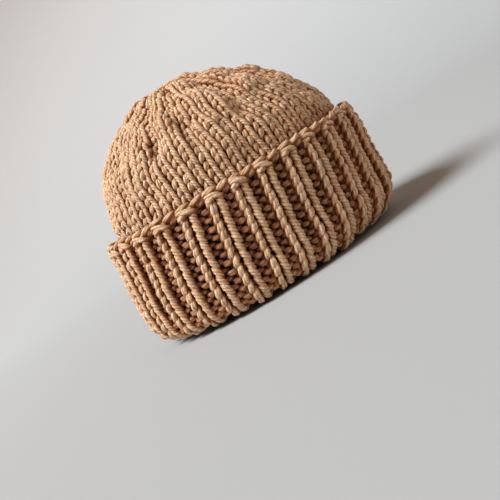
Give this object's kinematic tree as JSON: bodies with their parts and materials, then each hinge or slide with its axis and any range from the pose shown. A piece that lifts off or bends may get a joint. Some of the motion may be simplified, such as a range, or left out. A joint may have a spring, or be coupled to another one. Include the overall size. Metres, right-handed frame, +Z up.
{
  "type": "knitted beanie",
  "caption": "Chunky knitted beanie: a domed plain-knit crown gathered at its top, with a deep turned-up ribbed cuff. Pulled onto the head, and rests on its rim.",
  "frame": {"origin": "under the middle of the rim, on the surface that the folded rim rests on", "axes": "+X towards the front of the hat, +Y towards the wearer's left, +Z up to the gathered top"},
  "size_m": [0.2428, 0.1962, 0.1898],
  "materials": {
    "plain_knit": "chunky plain knit in plied camel yarn, soft and matt",
    "rib_knit": "chunky one-by-one rib in plied camel yarn, soft and matt",
    "cast_on_cord": "cast-on edge of the same camel yarn, soft and matt"
  },
  "bodies": {
    "root": {"crown": "plain_knit", "crown_closure": "plain_knit", "rib_band": "rib_knit", "rib_cuff": "rib_knit", "cast_on_edge": "cast_on_cord"}
  },
  "joints": []
}
